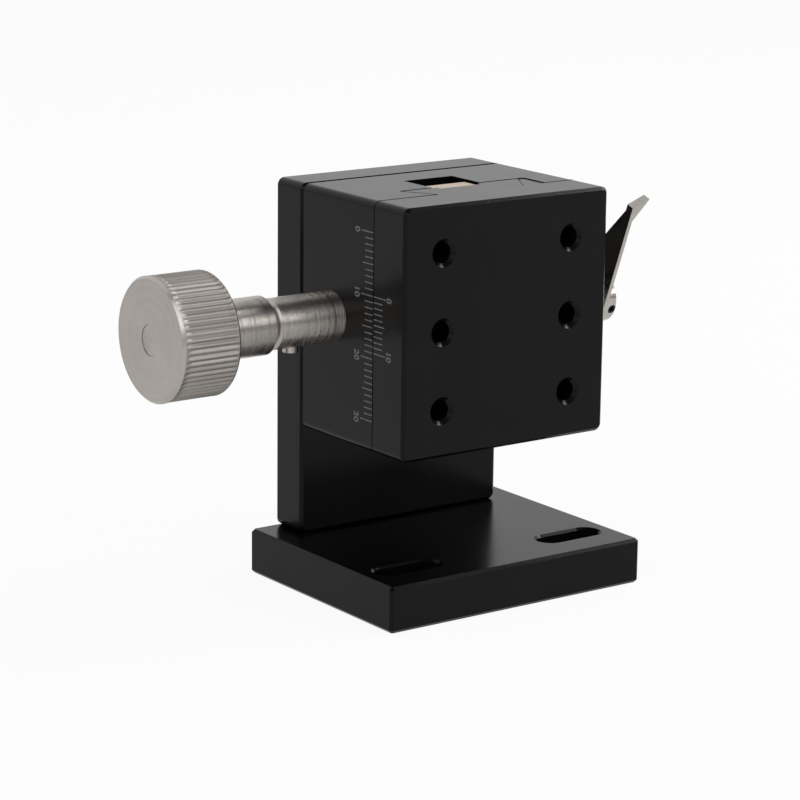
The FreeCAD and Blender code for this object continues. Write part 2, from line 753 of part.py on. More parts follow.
def makeClampLever():
    # Upright in its own frame, with its turning axis on X; it leans to the front as a whole.
    body = newBody("clamp_lever")
    lean = Rotation(Vector(1, 0, 0), number("lever_lean"))
    place(body, "0", "face_y + clamp_y", "centre_height + clamp_z", lean)
    bind(body, "Placement.Rotation.Angle", "lever_lean")
    sketch = newSketch(body, "YZ", "lever_hub_start")
    ring(sketch, "0", "0", "lever_radius")
    pad(body, sketch, "lever_face - lever_hub_start")
    dress(body, "Chamfer", "lever_break", circlesAt("X", number("lever_face"), number("lever_radius")))
    sketch = newSketch(body, "YZ", "lever_plate_start")
    outline(sketch, [
        ("-lever_radius", "0"), ("lever_radius", "0"), ("lever_radius", "arm_shoulder"),
        ("-lever_radius", "arm_height"),
    ])
    pad(body, sketch, "lever_plate")
    # The finger tab stands out from the arm's front edge.
    sketch = newSketch(body, "XZ", "lever_radius")
    outline(sketch, [
        ("lever_plate_start", "tab_start"), ("lever_plate_start + tab_reach", "tab_start + tab_rise"),
        ("lever_plate_start", "arm_height"),
    ])
    pad(body, sketch, "tab_depth", back=True)
    sketch = newSketch(body, "YZ", "lever_hub_start")
    ring(sketch, "0", "0", "m4_radius + fit_gap")
    pocket(body, sketch, "lever_face - lever_hub_start", back=True)
    sketch = newSketch(body, "YZ", "lever_face")
    ring(sketch, "0", "0", "clamp_head_radius + fit_gap")
    pocket(body, sketch, "clamp_head")
    sketch = newSketch(body, "XZ", "lever_radius + tool_margin")
    ring(sketch, "lever_face - lever_screw_place", "0", "lever_screw_radius + fit_gap")
    pocket(body, sketch, "lever_radius + tool_margin - clamp_head_radius")
    return body


def makeClampScrew():
    tip = "gib_wall + plug_gap + plug_length + plug_gap"
    axis = ("clamp_y", "clamp_z")
    shank = cylinder("m4_radius", f"lever_face - clamp_head - ({tip})", tip, *axis)
    head = cylinder("clamp_head_radius", "clamp_head - run_gap", "lever_face - clamp_head", *axis)
    recess = hexagon("m4_key", "m4_key_depth", "lever_face - run_gap - m4_key_depth", *axis)
    return finished(cut(fuse(shank, head), recess), "clamp_screw")


def makeClampPlug():
    plug = cylinder("m4_radius - run_gap", "plug_length", "gib_wall + plug_gap", "clamp_y", "clamp_z")
    return finished(plug, "clamp_plug")


def makeLeverScrew():
    # Upright as the lever's own frame has it, then leant with the lever about the clamp's axis.
    start = "clamp_head_radius + fit_gap"
    length = f"(lever_radius - lever_screw_inset - {start})"
    shank = doc.addObject("Part::Cylinder", "cylinder")
    bind(shank, "Radius", "lever_screw_radius")
    bind(shank, "Height", length)
    recess = doc.addObject("Part::Prism", "hexagon")
    recess.Polygon = 6
    bind(recess, "Circumradius", "small_key / sqrt(3)")
    bind(recess, "Height", "small_key_depth")
    bind(recess, "Placement.Base.z", f"{length} - small_key_depth")
    screw = cut(shank, recess)
    turn = Rotation(Vector(1, 0, 0), 90 + number("lever_lean"))
    place(screw, "lever_face - lever_screw_place",
          f"face_y + clamp_y - ({start}) * cos(lever_lean * 1 deg)",
          f"centre_height + clamp_z - ({start}) * sin(lever_lean * 1 deg)", turn)
    bind(screw, "Placement.Rotation.Angle", "90 + lever_lean")
    return finished(screw, "lever_set_screw")


pieces = [
    makeBasePlate(), makeVerticalPlate(), makeBaseScrews(), makeBodyScrews(),
    makeSlideBody(), makeStageTable(), makeGib(), makeGibScrews(), makeStopPin(),
    makeRack(), makePinionShaft(), makePinionSleeve(), makeEndBush(),
    makeSleeveScrew(), makeFrictionPlug(),
    makeKnob(), makeKnobScrew(), makeClampLever(), makeClampScrew(), makeClampPlug(), makeLeverScrew(),
]


def checkAndWrite():
    doc.recompute()
    for thing in doc.Objects:
        bad = [word for word in thing.State if word in ("Invalid", "Error")]
        if bad:
            raise ValueError(f"{thing.Name} ({thing.Label}) is {bad}")
    for piece in pieces:
        if piece.Shape.isNull() or not piece.Shape.isValid():
            raise ValueError(f"{piece.Label} has no valid shape")
    os.makedirs("parts", exist_ok=True)
    for piece in pieces:
        piece.Shape.exportStep(f"parts/{piece.Label}.step")
        box = piece.Shape.BoundBox
        print(piece.Label, len(piece.Shape.Solids), round(piece.Shape.Volume, 2),
              [round(c, 2) for c in (box.XMin, box.XMax, box.YMin, box.YMax, box.ZMin, box.ZMax)])


checkAndWrite()
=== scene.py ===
import json
import math

import bmesh
import bpy
import numpy as np
from mathutils import Matrix, Vector


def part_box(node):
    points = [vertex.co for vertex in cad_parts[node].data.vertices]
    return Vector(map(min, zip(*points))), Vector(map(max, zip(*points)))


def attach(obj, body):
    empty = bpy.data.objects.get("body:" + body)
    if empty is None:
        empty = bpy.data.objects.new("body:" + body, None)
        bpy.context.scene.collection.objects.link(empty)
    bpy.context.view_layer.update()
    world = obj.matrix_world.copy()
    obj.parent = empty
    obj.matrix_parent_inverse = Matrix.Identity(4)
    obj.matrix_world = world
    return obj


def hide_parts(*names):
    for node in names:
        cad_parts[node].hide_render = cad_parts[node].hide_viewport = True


# Dresses the vertical dovetail stage: finishes for the solids, the knurled knob, the lever's blade, the
# scale and vernier, floor, light and camera. Shapes are in millimetres and go into the meshes in metres,
# in the part's own frame: origin under the base, -Y to the front, knob at -X.

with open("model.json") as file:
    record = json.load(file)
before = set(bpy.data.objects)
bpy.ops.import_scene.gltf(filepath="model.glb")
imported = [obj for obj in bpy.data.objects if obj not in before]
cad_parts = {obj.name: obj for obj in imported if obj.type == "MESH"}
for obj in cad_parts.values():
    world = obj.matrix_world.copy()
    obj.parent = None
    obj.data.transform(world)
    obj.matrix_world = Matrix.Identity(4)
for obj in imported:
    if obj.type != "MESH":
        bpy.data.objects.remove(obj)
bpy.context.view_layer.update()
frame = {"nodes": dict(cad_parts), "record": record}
mm = 0.001
nodes = frame["nodes"]
slotOf = {part["node"]: part["material_slot"] for part in frame["record"]["subparts"]}


def boxOf(node):
    # A node's lowest and highest corners in millimetres.
    return [np.array(corner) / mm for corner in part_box(node)]


def middleOf(node):
    low, high = boxOf(node)
    return (low + high) / 2


shaftAxis = middleOf("pinion_shaft")      # the knob's axis runs along X through this point
clampAxis = middleOf("clamp_screw")       # and the lever's through this one
print("stage: frame loaded,", len(nodes), "nodes")


class Wire:
    # One output socket of a shader tree. Arithmetic on it adds Math nodes.
    def __init__(self, tree, socket):
        self.tree, self.socket = tree, socket

    def node(self, kind, settings=None, sockets=None, out=0):
        # Any node: its settings first, then the values or wires of its sockets.
        new = self.tree.nodes.new("ShaderNode" + kind)
        for name, value in (settings or {}).items():
            if name == "stops":
                ramp = new.color_ramp.elements
                while len(ramp) < len(value):
                    ramp.new(1)
                for stop, (place, tone) in zip(ramp, value):
                    stop.position = place
                    stop.color = (*tone, 1)
            else:
                setattr(new, name, value)
        for name, value in (sockets or {}).items():
            if isinstance(value, Wire):
                self.tree.links.new(value.socket, new.inputs[name])
            else:
                new.inputs[name].default_value = value
        return Wire(self.tree, new.outputs[out])

    def others(self, *names):
        # Named outputs of the node that this socket belongs to.
        return [Wire(self.tree, self.socket.node.outputs[name]) for name in names]

    def maths(self, operation, *values):
        return self.node("Math", {"operation": operation}, dict(enumerate(values)))

    def __add__(self, other):
        return self.maths("ADD", self, other)

    __radd__ = __add__

    def __sub__(self, other):
        return self.maths("SUBTRACT", self, other)

    def __rsub__(self, other):
        return self.maths("SUBTRACT", other, self)

    def __mul__(self, other):
        return self.maths("MULTIPLY", self, other)

    __rmul__ = __mul__

    def __truediv__(self, other):
        return self.maths("DIVIDE", self, other)

    def __pow__(self, other):
        return self.maths("POWER", self, other)

    def __gt__(self, other):
        return self.maths("GREATER_THAN", self, other)

    def __lt__(self, other):
        return self.maths("LESS_THAN", self, other)

    def clamped(self, low, high):
        # 0 below low, 1 above high, straight between.
        return self.node("MapRange", {"clamp": True}, {"Value": self, "From Min": low, "From Max": high})


def shaderTree(owner):
    # Empties the tree of a material or world. Gives its output node and a wire to start from.
    owner.use_nodes = True
    tree = owner.node_tree
    tree.nodes.clear()
    kind = "OutputWorld" if isinstance(owner, bpy.types.World) else "OutputMaterial"
    return tree.nodes.new("ShaderNode" + kind), Wire(tree, None)


def newFinish(name):
    # A material, its output node, a wire to start from and the place on the object.
    material = bpy.data.materials.new(name)
    output, start = shaderTree(material)
    return material, output, start, start.node("TexCoord", out="Object")


def finishWith(output, surface):
    surface.tree.links.new(surface.socket, output.inputs["Surface"])


def apart(start, vector):
    # The three numbers of a vector.
    return start.node("SeparateXYZ", None, {"Vector": vector}).others("X", "Y", "Z")


def noiseOf(start, place, scale, detail=3.0, rough=0.55):
    return start.node("TexNoise", {"noise_dimensions": "3D"},
                      {"Vector": place, "Scale": scale, "Detail": detail, "Roughness": rough}, out="Fac")


def stretched(start, place, scales):
    return start.node("Mapping", {"vector_type": "POINT"}, {"Vector": place, "Scale": scales})


def toneOf(start, share, look, low=0.35, high=0.65):
    # The finish's dark tone where share is below low, its light tone above high.
    return start.node("ValToRGB", {"stops": [(low, look["dark"]), (high, look["light"])]}, {"Fac": share},
                      out="Color")


def bumpOf(start, height, strength, depth=0.00002):
    # Small hills, depth metres high at full strength.
    return start.node("Bump", None, {"Strength": strength, "Distance": depth, "Height": height})


def anodised(name, look):
    # Satin black anodised aluminium: a fine blasted grain, cloudy sheen and a few hairline scratches.
    material, output, start, place = newFinish(name)
    cloud = noiseOf(start, place, look["cloudScale"])
    grain = noiseOf(start, place, look["grainScale"], detail=2.0)
    hair = noiseOf(start, stretched(start, place, look["hairStretch"]), look["hairScale"], detail=2.0)
    scratch = hair.clamped(*look["hairBand"])
    rough = (look["roughness"] + (cloud - 0.5) * look["roughSpread"] + (grain - 0.5) * look["roughGrain"]
             + scratch * look["hairRough"])
    shine = start.node("BsdfPrincipled", None, {
        "Base Color": toneOf(start, cloud, look, 0.3, 0.7), "Roughness": rough, "Metallic": 0.0,
        "Specular IOR Level": look["specular"], "Normal": bumpOf(start, grain, look["grain"])})
    finishWith(output, shine)
    return material


def turned(name, look, axis):
    # Metal turned about an axis along X: fine rings, in steps along the sides and outward on the faces,
    # with a slow change of tone from cut to cut. Knurl and bevels have no rings and may carry painted
    # shade that darkens their colour, and the knurl is duller.
    material, output, start, place = newFinish(name)
    centred = start.node("Mapping", {"vector_type": "POINT"}, {
        "Vector": place, "Location": (0, -axis[1] * mm, -axis[2] * mm)})
    x, y, z = apart(start, centred)
    outward = (y * y + z * z) ** 0.5
    lengthwise = start.maths("ABSOLUTE", apart(start, start.node("TexCoord", out="Normal"))[0])
    onFace, onSide = lengthwise > look["faceFrom"], lengthwise < look["sideBelow"]
    onBevel = (1 - onFace) * (1 - onSide)
    onKnurl = (outward > look["knurlFrom"]) * onSide
    rings = start.node("CombineXYZ", None, {"X": x * (1 - onFace), "Y": outward * onFace, "Z": 0.0})
    fine = noiseOf(start, rings, look["ringScale"], detail=1.0, rough=0.4) * (1 - onKnurl) * (1 - onBevel)
    coarse = noiseOf(start, rings, look["bandScale"], detail=2.0)
    cloud = noiseOf(start, place, look["cloudScale"])
    # Painted shade: the knurl's and the bevels' colour is mixed toward black by these shares.
    dark = onKnurl * look["knurlPaintedShade"] + onBevel * look["bevelPaintedShade"]
    # Sockets 6 and 7 are the two colours that are mixed, and output 2 is the result.
    tone = start.node("Mix", {"data_type": "RGBA"}, {
        0: dark, 6: toneOf(start, (coarse + cloud) * 0.5, look), 7: (0.0, 0.0, 0.0, 1)}, out=2)
    rough = (look["roughness"] + (coarse - 0.5) * look["roughSpread"] + (cloud - 0.5) * look["roughCloud"]
             + onKnurl * look["knurlDull"])
    shine = start.node("BsdfPrincipled", None, {
        "Base Color": tone, "Roughness": rough, "Metallic": 1.0,
        "Normal": bumpOf(start, fine, look["ring"], look["ringDepth"])})
    finishWith(output, shine)
    return material


def plainMetal(name, look):
    # Drawn, milled or oxide-black metal, and nylon: streaks along one direction over slow clouds.
    material, output, start, place = newFinish(name)
    streak = noiseOf(start, stretched(start, place, look["stretch"]), look["streakScale"], detail=2.0)
    cloud = noiseOf(start, place, look["cloudScale"])
    mix = (streak + cloud) * 0.5
    rough = look["roughness"] + (mix - 0.5) * look["roughSpread"]
    shine = start.node("BsdfPrincipled", None, {
        "Base Color": toneOf(start, mix, look), "Roughness": rough, "Metallic": look["metallic"],
        "Specular IOR Level": look["specular"], "Normal": bumpOf(start, streak, look["grain"])})
    finishWith(output, shine)
    return material


def laserMark(name, look):
    # Pale laser marking, slightly mottled, as the anodised skin turns grey where it was burnt.
    material, output, start, place = newFinish(name)
    mottle = noiseOf(start, place, look["mottleScale"], detail=2.0)
    shine = start.node("BsdfPrincipled", None, {
        "Base Color": toneOf(start, mottle, look),
        "Roughness": look["roughness"] + (mottle - 0.5) * look["roughSpread"],
        "Specular IOR Level": look["specular"]})
    finishWith(output, shine)
    return material


blackFinish = {
    "dark": (0.0014, 0.0014, 0.0015), "light": (0.0028, 0.0028, 0.0030),
    "cloudScale": 90.0, "grainScale": 9000.0, "grain": 0.10,
    "roughness": 0.22, "roughSpread": 0.06, "roughGrain": 0.05,
    "hairScale": 700.0, "hairStretch": (1.0, 1.0, 0.03), "hairBand": (0.70, 0.76), "hairRough": 0.06,
    "specular": 0.13,
}
steelFinish = {
    "dark": (0.395, 0.366, 0.340), "light": (0.440, 0.410, 0.382),
    "ringScale": 26000.0, "bandScale": 900.0, "cloudScale": 120.0, "ring": 1.0, "ringDepth": 0.00003,
    "roughness": 0.26, "roughSpread": 0.06, "roughCloud": 0.06,
    # How much a surface faces along the axis, from 0 to 1: below the first it is a side, past the second
    # a face, and between them a bevel.
    "sideBelow": 0.4, "faceFrom": 0.9,
    # Sides further out than this, in metres, are knurled. The knurl's and the bevels' shares toward black
    # are painted shade.
    "knurlFrom": 0.0093, "knurlDull": 0.20, "knurlPaintedShade": 0.24, "bevelPaintedShade": 0.0,
}
# The sleeve: the knob's turned steel painted lighter, painted light that stands in for brighter
# reflections along its sides, with painted shade on its bevels.
sleevePaintedLightFinish = {
    **steelFinish, "dark": (0.60, 0.56, 0.52), "light": (0.68, 0.64, 0.60), "ringDepth": 0.00004,
    "bevelPaintedShade": 0.35,
}
leverFinish = {
    "dark": (0.37, 0.35, 0.325), "light": (0.46, 0.435, 0.405), "stretch": (1.0, 1.0, 0.05),
    "streakScale": 3000.0, "cloudScale": 200.0, "roughness": 0.18, "roughSpread": 0.1, "grain": 0.1,
    "metallic": 1.0, "specular": 0.5,
}
brassFinish = {
    "dark": (0.47, 0.36, 0.27), "light": (0.60, 0.47, 0.36), "stretch": (0.05, 1.0, 1.0),
    "streakScale": 3000.0, "cloudScale": 300.0, "roughness": 0.35, "roughSpread": 0.15, "grain": 0.2,
    "metallic": 1.0, "specular": 0.5,
}
oxideFinish = {
    "dark": (0.010, 0.010, 0.011), "light": (0.024, 0.024, 0.026), "stretch": (1.0, 1.0, 1.0),
    "streakScale": 4000.0, "cloudScale": 500.0, "roughness": 0.38, "roughSpread": 0.2, "grain": 0.2,
    "metallic": 0.6, "specular": 0.3,
}
gibFinish = {
    "dark": (0.012, 0.012, 0.013), "light": (0.03, 0.03, 0.032), "stretch": (1.0, 1.0, 0.05),
    "streakScale": 3000.0, "cloudScale": 400.0, "roughness": 0.30, "roughSpread": 0.15, "grain": 0.15,
    "metallic": 0.8, "specular": 0.3,
}
nylonFinish = {
    "dark": (0.62, 0.60, 0.54), "light": (0.70, 0.68, 0.62), "stretch": (1.0, 1.0, 1.0),
    "streakScale": 2500.0, "cloudScale": 500.0, "roughness": 0.50, "roughSpread": 0.1, "grain": 0.1,
    "metallic": 0.0, "specular": 0.5,
}
shadowFinish = {
    "dark": (0.002, 0.002, 0.002), "light": (0.004, 0.004, 0.004), "stretch": (1.0, 1.0, 1.0),
    "streakScale": 2000.0, "cloudScale": 400.0, "roughness": 0.9, "roughSpread": 0.1, "grain": 0.1,
    "metallic": 0.0, "specular": 0.0,
}
markFinish = {
    "dark": (0.085, 0.085, 0.085), "light": (0.16, 0.16, 0.16), "mottleScale": 2500.0,
    "roughness": 0.6, "roughSpread": 0.2, "specular": 0.2,
}
steel = turned("turnedSteel", steelFinish, shaftAxis)
leverSteel = plainMetal("polishedLever", leverFinish)
finishOf = {
    "black_anodised": anodised("blackAnodised", blackFinish),
    "stainless": steel,
    "brass": plainMetal("machinedBrass", brassFinish),
    "black_steel": plainMetal("oxideBlackSteel", oxideFinish),
    "gib_steel": plainMetal("blackenedGib", gibFinish),
    "nylon": plainMetal("naturalNylon", nylonFinish),
}
ownFinish = {"clamp_lever": leverSteel, "pinion_sleeve": turned("turnedSleevePaintedLight", sleevePaintedLightFinish, shaftAxis)}
for name, obj in nodes.items():
    obj.data.materials.clear()
    obj.data.materials.append(ownFinish.get(name, finishOf[slotOf[name]]))
print("stage: materials")


def meshPiece(name, points, faces, material, body):
    # A new piece from an array of points in millimetres and a list of faces, riding on a body.
    mesh = bpy.data.meshes.new(name)
    mesh.from_pydata((np.asarray(points) * mm).tolist(), [], [list(face) for face in faces])
    mesh.materials.append(material)
    piece = bpy.data.objects.new(name, mesh)
    bpy.context.scene.collection.objects.link(piece)
    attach(piece, body)
    return piece


# The knob, with its straight knurl rolled softly and its clamping hole in the hub

knob = {
    "faceX": boxOf("knob")[0][0], "hubEnd": boxOf("knob")[1][0], "rimLength": 10.55, "boreRadius": 2.5,
    "tipRadius": 9.85, "rootRadius": 9.55, "chamfer": 0.42, "backRound": 1.0, "hubRadius": 4.7,
    "hubBreak": 0.5,
    # The knurl: how many ridges, columns of points to each, how much their heights differ and by what
    # turns of a sine, how round they are, and over what length they run out at the rim's edges.
    "ridges": 64, "perRidge": 12, "uneven": 0.35, "unevenTurns": (2.39996, 1.7), "roundness": 0.8,
    "runOut": 1.2,
    # Rows of points on the face, its chamfer, the rim (as shares of its length), its back edge, the back
    # and the hub.
    "faceRows": 6, "chamferRows": 5, "rimRows": (0.03, 0.06, 0.09, 0.13, 0.5, 0.87, 0.94, 1),
    "bendRows": 8, "backRows": 4, "hubRows": 19,
    # The hole: how far before the hub's end, its radius, and how far below the axis its floor is. The
    # block of cells round it: rows after the hub's first, columns to either side, and its rings' shares of
    # the way to the hole.
    "holeInset": 6.1, "holeRadius": 1.54, "holeFloor": 2.6, "blockRows": (3, 12), "blockHalf": 72,
    "ringShares": (0.3, 0.6, 0.85, 1.0),
}


def knobProfile(look):
    # The closed outline (x, radius) that is turned about the axis: up the face, over the rim, down the
    # back, along the hub and home through the bore. Rim rows come dense near both edges.
    face, rim, tip = look["faceX"], look["faceX"] + look["rimLength"], look["tipRadius"]
    chamfer, bend, hub = look["chamfer"], look["backRound"], look["hubRadius"]
    outer = [(face, radius) for radius in np.linspace(look["boreRadius"], tip - chamfer, look["faceRows"])]
    steps = np.linspace(0, chamfer, look["chamferRows"])[1:]
    outer += [(face + step, tip - chamfer + step) for step in steps]
    flat = rim - bend - face - chamfer
    outer += [(face + chamfer + flat * share, tip) for share in look["rimRows"]]
    angle = np.linspace(0, math.pi / 2, look["bendRows"])[1:]
    outer += list(zip(rim - bend + bend * np.sin(angle), tip - bend + bend * np.cos(angle)))
    outer += [(rim, radius) for radius in np.linspace(tip - bend, hub, look["backRows"])[1:]]
    hubRow = len(outer) - 1
    end = look["hubEnd"]
    outer += [(x, hub) for x in np.linspace(rim, end - look["hubBreak"], look["hubRows"])[1:]]
    outer += [(end, hub - look["hubBreak"]), (end, look["boreRadius"])]
    return np.array(outer), hubRow


def knurlRadius(look, angle):
    # The knurl's radius is root + depth * (half a raised cosine of the angle, to a power), and each ridge
    # has a height of its own, from a sine of its number.
    ridge = np.arange(len(angle)) // look["perRidge"]
    swing, sway = look["unevenTurns"]
    height = 1 - look["uneven"] * (0.5 + 0.5 * np.sin(ridge * swing + np.sin(ridge * sway)))
    wave = (0.5 - 0.5 * np.cos(angle * look["ridges"])) ** look["roundness"]
    return look["rootRadius"] + (look["tipRadius"] - look["rootRadius"]) * wave * height


def turnedGrid(look, profile, angle, axis):
    # x and radius come from the profile, and the angle runs round in equal steps from straight down. The
    # radius is the lower of the profile's and the knurl's, which runs out at both edges of the rim.
    x = np.repeat(profile[:, :1], len(angle), axis=1)
    fromFront = (profile[:, 0] - look["faceX"] - look["chamfer"]) / look["runOut"]
    fromBack = (look["faceX"] + look["rimLength"] - profile[:, 0]) / look["runOut"]
    depth = np.clip(fromFront, 0, 1) * np.clip(fromBack, 0, 1)
    lowered = look["tipRadius"] - (look["tipRadius"] - knurlRadius(look, angle)) * depth[:, None]
    radius = np.minimum(profile[:, 1:], lowered)
    around = angle - math.pi / 2
    return np.stack([x, axis[1] + radius * np.cos(around), axis[2] + radius * np.sin(around)], axis=2)


def gridCells(rows, columns):
    # The four corners of every cell of a grid that closes on itself both ways.
    row, column = np.meshgrid(np.arange(rows), np.arange(columns), indexing="ij")
    nextRow, nextColumn = (row + 1) % rows, (column + 1) % columns
    return np.stack([row * columns + column, nextRow * columns + column,
                     nextRow * columns + nextColumn, row * columns + nextColumn], axis=2)


def blockEdge(low, high, half):
    # Corners (row, column) round a block of cells: along its first row, up, back along its last row, down.
    side = np.arange(-half, half + 1)
    return np.concatenate([
        np.stack([np.full(side.size - 1, low), side[:-1]], axis=1),
        np.stack([np.arange(low, high), np.full(high - low, half)], axis=1),
        np.stack([np.full(side.size - 1, high), side[:0:-1]], axis=1),
        np.stack([np.arange(high, low, -1), np.full(high - low, -half)], axis=1)])


def holeRings(look, edgeX, edgeArc, axis):
    # Rings on the hub that pass from the block's edge to the hole's circle, point by point along the same
    # bearing, and below them the circle again at the hole's floor. An arc is a length round the hub.
    hub, holeX = look["hubRadius"], look["hubEnd"] - look["holeInset"]
    bearing = np.arctan2(edgeArc, edgeX - holeX)
    circleX = holeX + look["holeRadius"] * np.cos(bearing)
    circleY = look["holeRadius"] * np.sin(bearing)
    circleArc = np.arcsin(circleY / hub) * hub
    rings = []
    for share in look["ringShares"]:
        turn = (edgeArc + (circleArc - edgeArc) * share) / hub - math.pi / 2
        rings.append(np.stack([edgeX + (circleX - edgeX) * share,
                               axis[1] + hub * np.cos(turn), axis[2] + hub * np.sin(turn)], axis=1))
    floor = np.full(len(edgeX), axis[2] - look["holeFloor"])
    return rings + [np.stack([circleX, axis[1] + circleY, floor], axis=1)]


def knobSurface(look, axis):
    # The turned grid without a block of cells under the hub. Rings between the block's edge and the hole's
    # circle close it, with a wall and a floor below.
    profile, hubRow = knobProfile(look)
    rows, columns = len(profile), look["ridges"] * look["perRidge"]
    angle = np.arange(columns) * 2 * math.pi / columns
    points = turnedGrid(look, profile, angle, axis).reshape(-1, 3)
    low, high = (hubRow + step for step in look["blockRows"])
    half = look["blockHalf"]
    kept = np.ones((rows, columns), bool)
    kept[low:high, :half] = False
    kept[low:high, columns - half:] = False
    faces = gridCells(rows, columns)[kept].reshape(-1, 4)
    corners = blockEdge(low, high, half)
    edge = corners[:, 0] * columns + corners[:, 1] % columns
    edgeArc = corners[:, 1] * 2 * math.pi / columns * look["hubRadius"]
    rings = holeRings(look, profile[corners[:, 0], 0], edgeArc, axis)
    count = len(edge)
    bands = [edge] + [len(points) + level * count + np.arange(count) for level in range(len(rings))]
    quads = [np.stack([near, far, np.roll(far, -1), np.roll(near, -1)], axis=1)
             for near, far in zip(bands[:-1], bands[1:])]
    # Turned round, so that the faces point outward. The last one is the hole's floor.
    faces = np.concatenate([faces] + quads)[:, ::-1].tolist() + [bands[-1].tolist()]
    return np.concatenate([points] + rings), faces


knobPoints, knobFaces = knobSurface(knob, shaftAxis)
knobPiece = meshPiece("knob_knurled", knobPoints, knobFaces, steel, "knob_drive")
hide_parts("knob")
print("stage: knob,", len(knobFaces), "faces")

# The clamp lever, its top corner cut away slantwise behind the finger tab

# The lean in degrees, and the two ends of the cut: x, and how far up the lever from the clamp's axis.
lever = {"lean": 20.7, "cutLow": (25.5, 19.2), "cutHigh": (28.6, 20.75)}


def trimmedCopy(node, spot, normal):
    # A node's mesh, merged and cut by a plane: what lies beyond it goes, and the cut is closed.
    mesh = bmesh.new()
    mesh.from_mesh(nodes[node].data)
    bmesh.ops.remove_doubles(mesh, verts=mesh.verts, dist=0.001 * mm)
    everything = mesh.verts[:] + mesh.edges[:] + mesh.faces[:]
    cut = bmesh.ops.bisect_plane(mesh, geom=everything, plane_co=spot, plane_no=normal, clear_outer=True)
    edges = [part for part in cut["geom_cut"] if isinstance(part, bmesh.types.BMEdge)]
    bmesh.ops.holes_fill(mesh, edges=edges)
    bmesh.ops.recalc_face_normals(mesh, faces=mesh.faces)
    points = [[value / mm for value in corner.co] for corner in mesh.verts]
    faces = [[corner.index for corner in face.verts] for face in mesh.faces]
    mesh.free()
    return points, faces


lean = math.radians(lever["lean"])
rise = Vector((0, -math.sin(lean), math.cos(lean)))      # the lever's own upward direction
(lowX, lowRise), (highX, highRise) = lever["cutLow"], lever["cutHigh"]
cutNormal = Vector((lowRise - highRise, 0, 0)) + rise * (highX - lowX)
cutSpot = Vector((lowX, clampAxis[1], clampAxis[2])) + rise * lowRise
leverPoints, leverFaces = trimmedCopy("clamp_lever", cutSpot * mm, cutNormal)
leverPiece = meshPiece("lever_blade", leverPoints, leverFaces, leverSteel, "lever")
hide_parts("clamp_lever")
print("stage: lever,", len(leverFaces), "faces")

# Painted shade along the joints that show on top: dark strips where the broken edges on the fixed side of
# each gap fall into shade

jointShade = {
    "width": 0.22, "lift": 0.012,
    # From x, y to x, y, and how far below the top.
    "lines": [
        ((-19.3, 12.5), (19.3, 12.5), 0),           # body and vertical plate
        ((-19.3, -7.2), (-7.8, -7.2), 0),           # body and table, left of the dovetail
        ((13.6, -7.2), (19.3, -7.2), 0),            # the same, right of the gib
        ((-7.85, -7.2), (-11.0, -1.75), 0),         # the dovetail's left flank
        ((-11.0, -1.6), (-4.9, -1.6), 0),           # its floor, left of the rack's channel
        ((4.9, -1.6), (13.5, -1.6), 0),             # and right of it
        ((13.58, -7.2), (13.58, -1.6), 0),          # the gib's outer side
        ((12.2, -1.95), (9.3, -7.0), 0.1),          # and its flank along the dovetail
    ],
}


def jointShadeStrips(look, top):
    # Each line is one flat quad: its two ends, moved half a width to either side.
    ends = np.array([[start, end] for start, end, _ in look["lines"]])
    along = ends[:, 1] - ends[:, 0]
    along /= np.linalg.norm(along, axis=1)[:, None]
    side = np.stack([-along[:, 1], along[:, 0]], axis=1) * look["width"] / 2
    flat = np.stack([ends[:, 0] - side, ends[:, 1] - side, ends[:, 1] + side, ends[:, 0] + side], axis=1)
    level = np.array([top - below + look["lift"] for _, _, below in look["lines"]])
    points = np.concatenate([flat, np.repeat(level[:, None, None], 4, axis=1)], axis=2)
    return points.reshape(-1, 3), np.arange(4 * len(ends)).reshape(-1, 4).tolist()


# Painted shade: one near-black matt strip over each gap, riding on the frame.
shadePoints, shadeFaces = jointShadeStrips(jointShade, boxOf("slide_body")[1][2])
meshPiece("joint_shade_strips", shadePoints, shadeFaces, plainMetal("jointShadow", shadowFinish), "frame")
print("stage: joint lines,", len(shadeFaces))

# Scale on the body's left face and vernier on the table's

# zeroAbove is how far the zero lies above the face's middle, start how far a tick keeps off the seam, and
# lengths are a plain tick's, a fifth's and a tenth's. Numbers stand at the ticks they are listed with.
ruler = {
    "pitch": 1.0, "count": 31, "zeroAbove": 15.1, "width": 0.2, "lift": 0.012, "start": 0.05,
    "lengths": (2.2, 2.8, 3.2), "numberGap": 0.38, "numberHeight": 1.4, "bold": 0.035, "curveSteps": 3,
    "numbers": {0: "0", 10: "10", 20: "20", 30: "30"},
}
vernier = {
    "pitch": 0.9, "count": 11, "zeroAbove": 5.1, "width": 0.2, "lift": 0.012, "start": 0.05,
    "lengths": (2.4, 2.9, 3.2), "numberGap": 0.2, "numberHeight": 1.35, "bold": 0.035, "curveSteps": 3,
    "numbers": {0: "0", 10: "10"},
    "seamGap": 0.2,      # from the body's front to the table's edge
}


def tickMarks(look, seam, away, faceX, centreZ):
    # Each tick is one flat quad on the face: it starts near the seam and runs away from it, longest at
    # every tenth tick and middling at every fifth.
    index = np.arange(look["count"])
    short, middling, longest = look["lengths"]
    length = np.where(index % 10 == 0, longest, np.where(index % 5 == 0, middling, short))
    z = centreZ + look["zeroAbove"] - index * look["pitch"]
    near = np.full(len(index), seam + away * look["start"])
    far = near + away * (length - look["start"])
    half = look["width"] / 2
    x = np.full(len(index), faceX - look["lift"])
    corners = [(near, z - half), (near, z + half), (far, z + half), (far, z - half)]
    points = np.stack([np.stack([x, y, level], axis=1) for y, level in corners], axis=1).reshape(-1, 3)
    faces = np.arange(4 * look["count"]).reshape(-1, 4)
    return points, (faces if away > 0 else faces[:, ::-1]).tolist()


